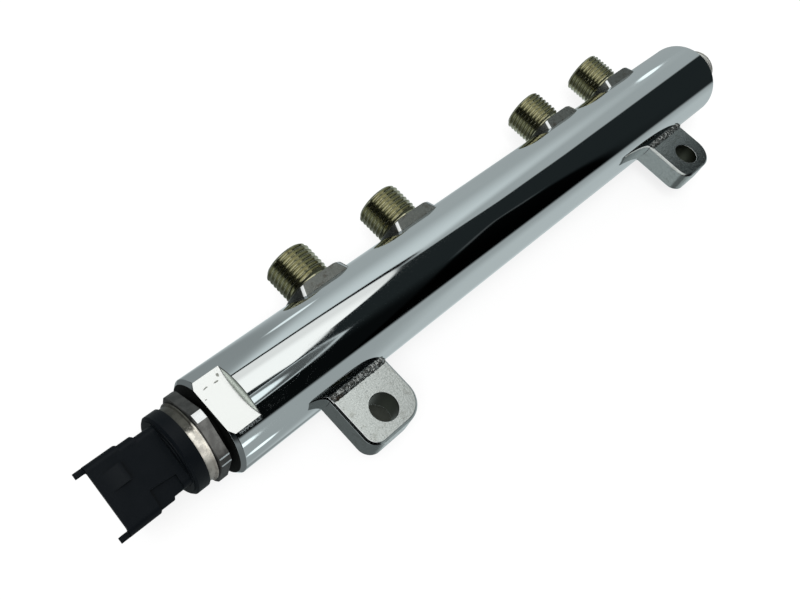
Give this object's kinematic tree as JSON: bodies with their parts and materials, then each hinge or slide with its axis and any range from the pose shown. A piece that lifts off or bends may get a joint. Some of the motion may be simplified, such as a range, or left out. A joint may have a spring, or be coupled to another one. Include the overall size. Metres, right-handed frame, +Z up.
{
  "type": "fuel rail",
  "caption": "High-pressure fuel rail: chromed tube with threaded outlets along one side, welded bolt-down brackets along the other and a pressure sensor with a black connector at one end.",
  "frame": {"origin": "midway between the two bracket bolt holes, on the plane the bracket undersides rest on", "axes": "+X along the tube from the sensor to the inlet, +Y the way the outlets point, +Z up out of the bracket bolt holes"},
  "size_m": [0.3003, 0.0617, 0.03],
  "materials": {
    "chromed_tube": "bright chrome plate, mirror-like with fine scratches",
    "plated_fitting": "blasted grey collar, olive-gold plated thread",
    "bright_zinc": "bright zinc plate over a rolled surface",
    "weld_metal": "plated weld bead, lumpy and shiny",
    "sensor_steel": "satin grey turned and milled steel",
    "polished_steel": "polished stainless sleeve",
    "board": "green laminate",
    "black_plastic": "moulded black glass-filled plastic",
    "contact_tin": "tin-plated copper alloy"
  },
  "bodies": {
    "root": {"bracket_far": "bright_zinc", "bracket_near": "bright_zinc", "bracket_weld_far": "weld_metal", "bracket_weld_near": "weld_metal", "inlet_fitting": "plated_fitting", "outlet_fitting_1": "plated_fitting", "outlet_fitting_2": "plated_fitting", "outlet_fitting_3": "plated_fitting", "outlet_fitting_4": "plated_fitting", "outlet_restrictor_1": "sensor_steel", "outlet_restrictor_2": "sensor_steel", "outlet_restrictor_3": "sensor_steel", "outlet_restrictor_4": "sensor_steel", "rail_tube": "chromed_tube", "sensor_body": "sensor_steel", "sensor_circuit_board": "board", "sensor_connector_housing": "black_plastic", "sensor_crimp_sleeve": "polished_steel", "sensor_measuring_cell": "sensor_steel", "sensor_pin_1": "contact_tin", "sensor_pin_2": "contact_tin", "sensor_pin_3": "contact_tin"}
  },
  "joints": []
}
